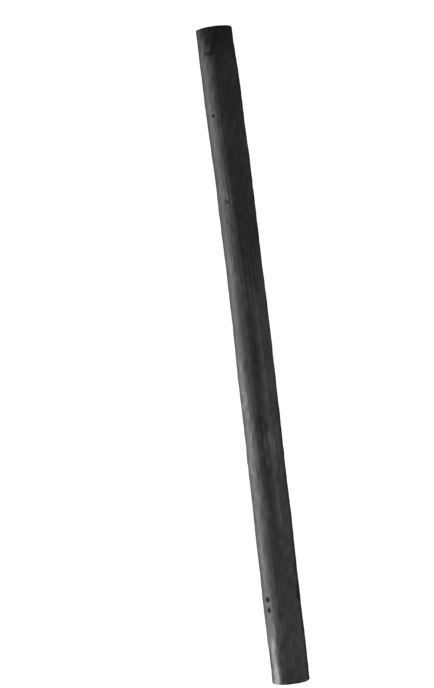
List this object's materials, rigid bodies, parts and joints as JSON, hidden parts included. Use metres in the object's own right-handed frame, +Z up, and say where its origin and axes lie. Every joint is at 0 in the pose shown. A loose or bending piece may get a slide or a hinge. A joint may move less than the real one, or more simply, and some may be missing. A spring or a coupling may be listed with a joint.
{
  "type": "charcoal drawing stick",
  "caption": "Charred willow drawing stick, nearly straight, with square-sawn ends, a long shallow flute and flush bud knots.",
  "frame": {"origin": "centre of the stick's box in plan, on the table that it lies on", "axes": "+X along the stick to its drawing end, +Y across the stick, to the right for someone who looks down at it with the drawing end nearest, +Z up from the table"},
  "size_m": [0.15, 0.0094, 0.0085],
  "materials": {
    "skin": "charred, faintly glossy along the grain",
    "second_year_wood": "matt charcoal",
    "first_year_wood": "matt charcoal",
    "pith": "dull brown char",
    "knot": "hard matt charcoal"
  },
  "bodies": {
    "root": {"outer_skin": "skin", "outer_growth_ring": "second_year_wood", "inner_growth_ring": "first_year_wood", "pith_core": "pith", "bud_knot_1": "knot", "bud_knot_2": "knot", "bud_knot_3": "knot", "bud_knot_4": "knot", "bud_knot_5": "knot"}
  },
  "joints": []
}
